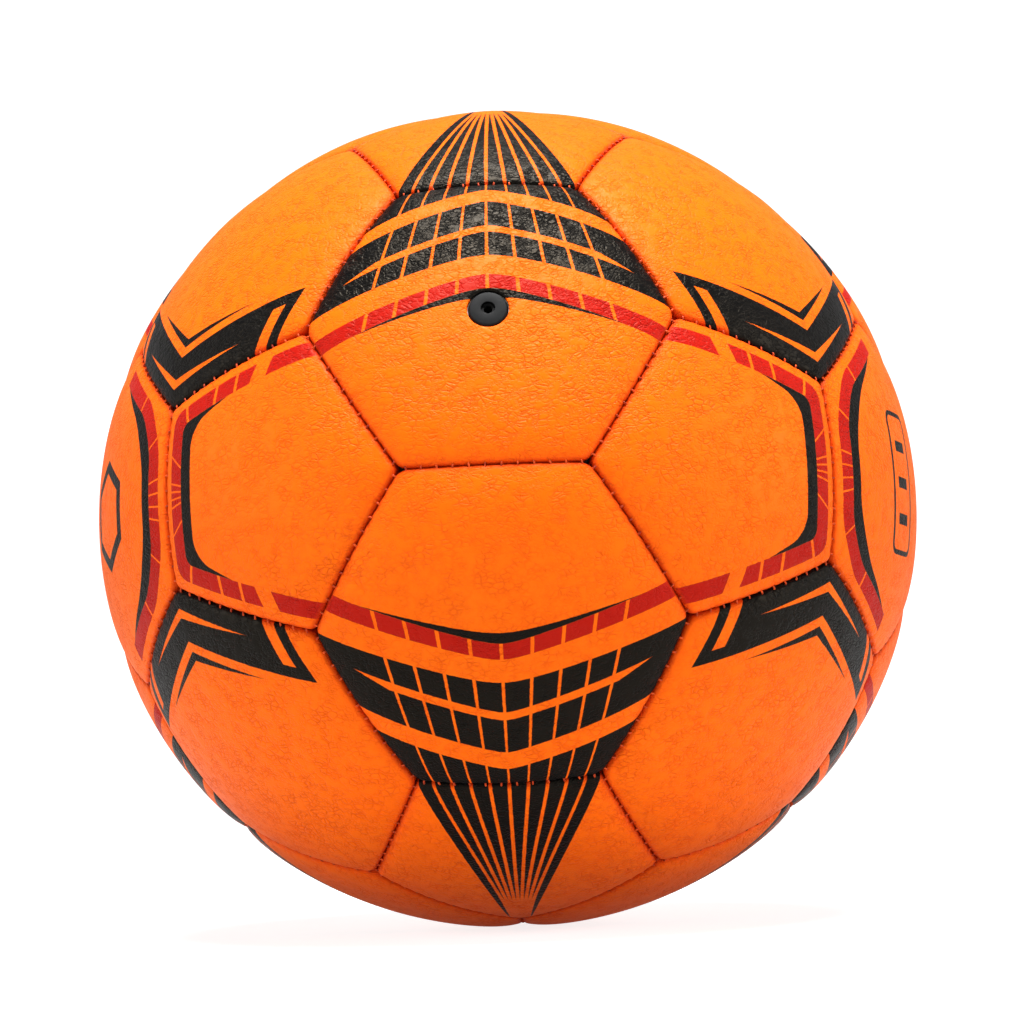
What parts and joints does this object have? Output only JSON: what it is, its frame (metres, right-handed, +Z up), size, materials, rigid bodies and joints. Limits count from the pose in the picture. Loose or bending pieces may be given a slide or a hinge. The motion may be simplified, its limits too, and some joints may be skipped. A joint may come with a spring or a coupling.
{
  "type": "soccer ball",
  "caption": "Stitched soccer ball: domed pentagon and hexagon leather covers over foam pads, cloth lining and a rubber bladder with a needle valve.",
  "frame": {"origin": "centre of the ball", "axes": "+Z up and -Y to the front as the ball is shown; each of X, Y and Z passes through the middle of a seam between two hexagons, and the valve is on the front above the middle"},
  "size_m": [0.22, 0.22, 0.22],
  "materials": {
    "cover_leather": "grained synthetic leather, orange with black and red print",
    "panel_foam": "soft closed-cell foam",
    "lining_cloth": "woven cotton and polyester cloth",
    "seam_thread": "waxed polyester thread",
    "bladder_rubber": "smooth moulded butyl",
    "valve_rubber": "matt moulded rubber",
    "core_rubber": "soft lubricated rubber",
    "patch_rubber": "vulcanised rubber patch"
  },
  "bodies": {
    "root": {"balance_patch": "patch_rubber", "bladder": "bladder_rubber", "foam_pads_hexagon": "panel_foam", "foam_pads_pentagon": "panel_foam", "hexagon_back_bottom": "cover_leather", "hexagon_back_left_bottom": "cover_leather", "hexagon_back_left_top": "cover_leather", "hexagon_back_right_bottom": "cover_leather", "hexagon_back_right_top": "cover_leather", "hexagon_back_top": "cover_leather", "hexagon_bottom_left": "cover_leather", "hexagon_bottom_right": "cover_leather", "hexagon_front_bottom": "cover_leather", "hexagon_front_left_bottom": "cover_leather", "hexagon_front_left_top": "cover_leather", "hexagon_front_right_bottom": "cover_leather", "hexagon_front_right_top": "cover_leather", "hexagon_front_top": "cover_leather", "hexagon_left_back": "cover_leather", "hexagon_left_front": "cover_leather", "hexagon_right_back": "cover_leather", "hexagon_right_front": "cover_leather", "hexagon_top_left": "cover_leather", "hexagon_top_right": "cover_leather", "lining_hexagon": "lining_cloth", "lining_pentagon": "lining_cloth", "pentagon_back_left": "cover_leather", "pentagon_back_right": "cover_leather", "pentagon_bottom_back": "cover_leather", "pentagon_bottom_front": "cover_leather", "pentagon_front_left": "cover_leather", "pentagon_front_right": "cover_leather", "pentagon_left_bottom": "cover_leather", "pentagon_left_top": "cover_leather", "pentagon_right_bottom": "cover_leather", "pentagon_right_top": "cover_leather", "pentagon_top_back": "cover_leather", "pentagon_top_front": "cover_leather", "seam_threads": "seam_thread", "valve_boot": "valve_rubber", "valve_core": "core_rubber"}
  },
  "joints": []
}
